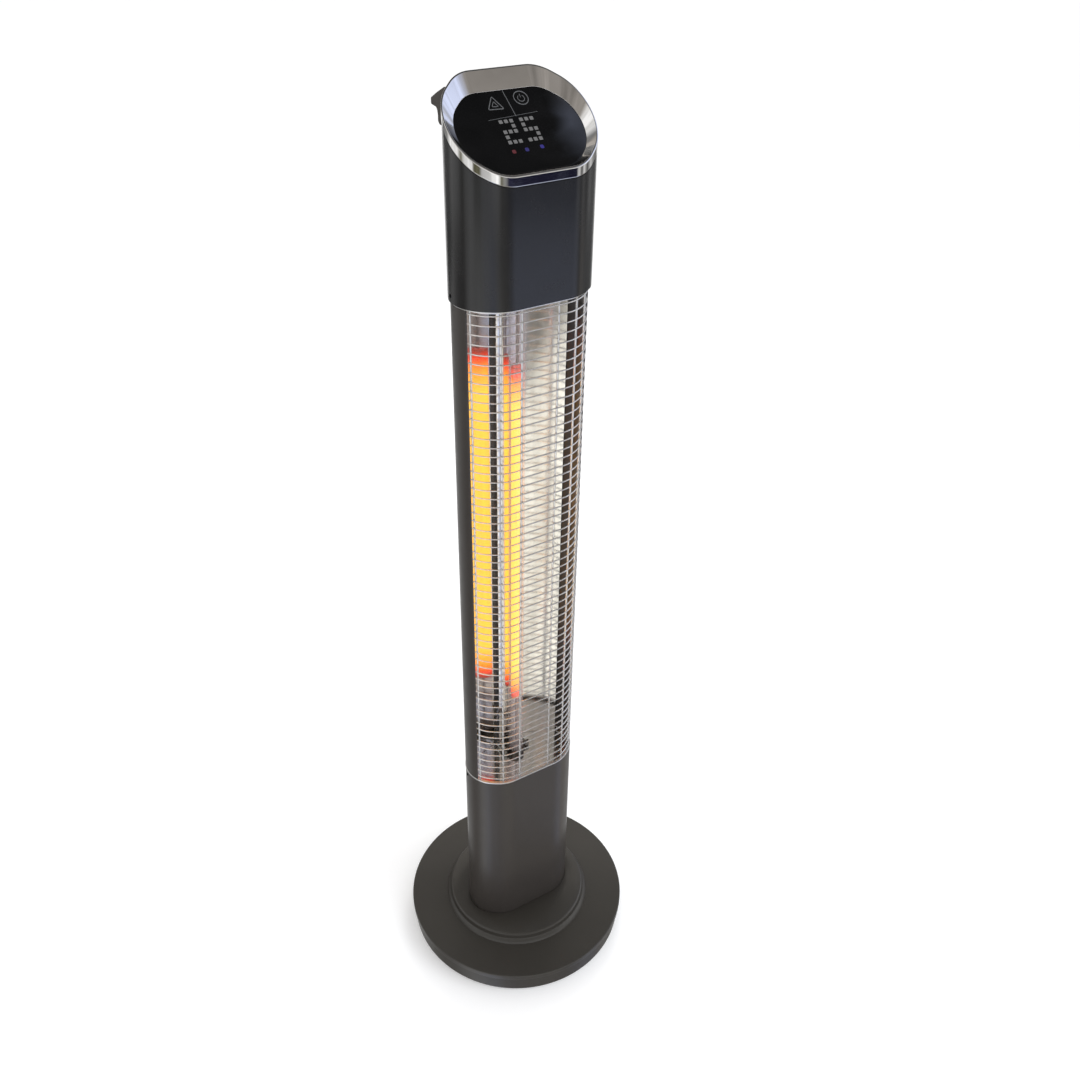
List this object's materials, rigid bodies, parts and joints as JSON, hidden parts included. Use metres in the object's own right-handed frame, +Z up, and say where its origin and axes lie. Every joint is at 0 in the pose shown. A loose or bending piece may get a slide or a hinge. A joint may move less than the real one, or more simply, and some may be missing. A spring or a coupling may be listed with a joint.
{
  "type": "outdoor heater",
  "caption": "Free-standing electric infrared tower heater with a round weighted base, wire guard, single quartz lamp and sloped display.",
  "frame": {"origin": "centre of the round base, on the ground", "axes": "+Z up along the column, the lamp and the display face -Y, +X to the right seen from behind the display"},
  "size_m": [0.3, 0.3, 1.139],
  "materials": {
    "foot_rubber": "matt moulded rubber",
    "base_tray_black": "fine moulded grain",
    "base_black": "matt textured powder coat",
    "ballast_cement": "rough cast cement",
    "zinc_steel": "zinc plated",
    "column_black": "satin powder coat",
    "head_black": "satin to gloss black, slightly blue",
    "trim_chrome": "bright",
    "guard_chrome": "bright plated wire",
    "bezel_chrome": "mirror plated",
    "screw_black": "blackened",
    "reflector_aluminium": "polished sheet, slightly diffuse",
    "lamp_ceramic": "unglazed steatite",
    "quartz_glass": "clear quartz",
    "clip_steel": "heat-darkened spring steel",
    "cutout_black": "phenolic moulding",
    "lead_insulation": "silicone and glass sleeving",
    "terminal_white": "natural moulding",
    "fitting_black": "satin moulding",
    "rocker_red": "gloss moulding",
    "display_gloss": "high gloss black",
    "led_module": "black potted module",
    "indicator_lens": "clear moulded",
    "circuit_green": "solder resist",
    "relay_blue": "moulded case",
    "sink_aluminium": "extruded",
    "capacitor_orange": "moulded case",
    "handle_grey": "fine moulded grain",
    "glowing_coil": "glowing resistance wire"
  },
  "bodies": {
    "root": {"base_feet": "foot_rubber", "base_tray": "base_tray_black", "base_ballast": "ballast_cement", "base_cover": "base_black", "base_collar": "base_black", "base_screws": "zinc_steel", "column_flange": "zinc_steel", "flange_bolts": "zinc_steel", "lower_housing": "column_black", "lower_trim": "trim_chrome", "housing_screws": "screw_black", "rear_shell": "column_black", "upper_trim": "trim_chrome", "chamber_floor": "zinc_steel", "heat_shield": "zinc_steel", "shield_spacers": "zinc_steel", "reflector": "reflector_aluminium", "reflector_top": "reflector_aluminium", "reflector_bottom": "reflector_aluminium", "lamp_end_lower": "lamp_ceramic", "lamp_end_upper": "lamp_ceramic", "quartz_tube": "quartz_glass", "heating_coil": "glowing_coil", "lamp_clip": "clip_steel", "clip_screws": "zinc_steel", "guard_wires": "guard_chrome", "guard_uprights": "guard_chrome", "thermal_cutout": "cutout_black", "wiring_leads": "lead_insulation", "terminal_block": "terminal_white", "cable_gland": "fitting_black", "gland_nut": "fitting_black", "tip_switch_body": "terminal_white", "tip_switch_pin": "zinc_steel", "switch_frame": "fitting_black", "switch_body": "fitting_black", "switch_pin": "zinc_steel", "head_floor": "zinc_steel", "head_housing": "head_black", "bezel": "bezel_chrome", "display_panel": "display_gloss", "display_carrier": "fitting_black", "digit_module": "led_module", "indicator_leds": "indicator_lens", "display_board": "circuit_green", "control_board": "circuit_green", "board_posts": "zinc_steel", "relays": "relay_blue", "heat_sink": "sink_aluminium", "capacitor": "capacitor_orange", "carry_handle": "handle_grey", "handle_screws": "zinc_steel", "rear_vent": "fitting_black", "vent_screws": "screw_black", "head_screws": "screw_black"},
    "rocker": {"power_rocker": "rocker_red"},
    "pendulum": {"tip_pendulum": "zinc_steel"}
  },
  "joints": [
    {"name": "power_rocker_tilt", "type": "hinge", "parent": "root", "child": "rocker", "pos_m": [0, 0.0344, 0.14], "axis": [-1, 0, 0], "range_deg": [0, 18]},
    {"name": "tip_pendulum_swing", "type": "hinge", "parent": "root", "child": "pendulum", "pos_m": [0, -0.004, 0.07], "axis": [1, 0, 0], "range_deg": [-20, 20]}
  ]
}
